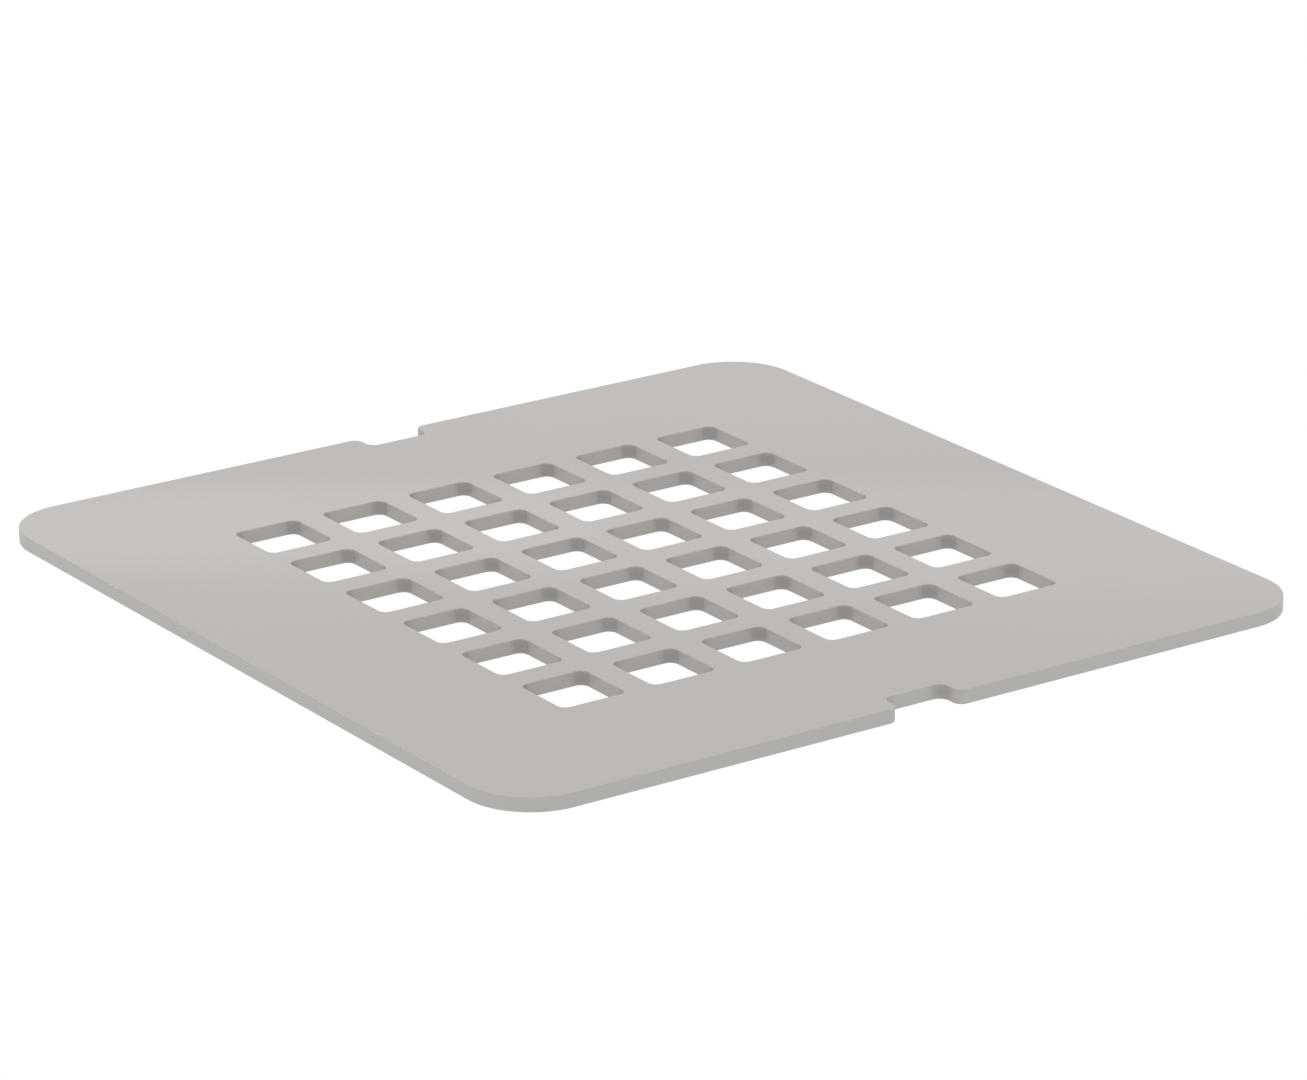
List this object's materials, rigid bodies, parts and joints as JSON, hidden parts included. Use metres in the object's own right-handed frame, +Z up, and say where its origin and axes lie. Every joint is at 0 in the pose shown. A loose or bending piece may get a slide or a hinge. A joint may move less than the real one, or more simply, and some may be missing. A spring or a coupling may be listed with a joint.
{
  "type": "shower drain cover",
  "caption": "Flat square painted metal cover for a shower tray's waste recess, with rounded corners, a central grid of square drain holes and a lifting notch in two opposite edges.",
  "frame": {"origin": "middle of the flat underside", "axes": "+Z up, out of the top face; X along the two edges that hold the lifting notches; Y from one notch to the other"},
  "size_m": [0.1868, 0.1868, 0.003],
  "materials": {
    "painted_sheet": "matte, light warm grey paint, all over"
  },
  "bodies": {
    "root": {"drain_cover": "painted_sheet"}
  },
  "joints": []
}
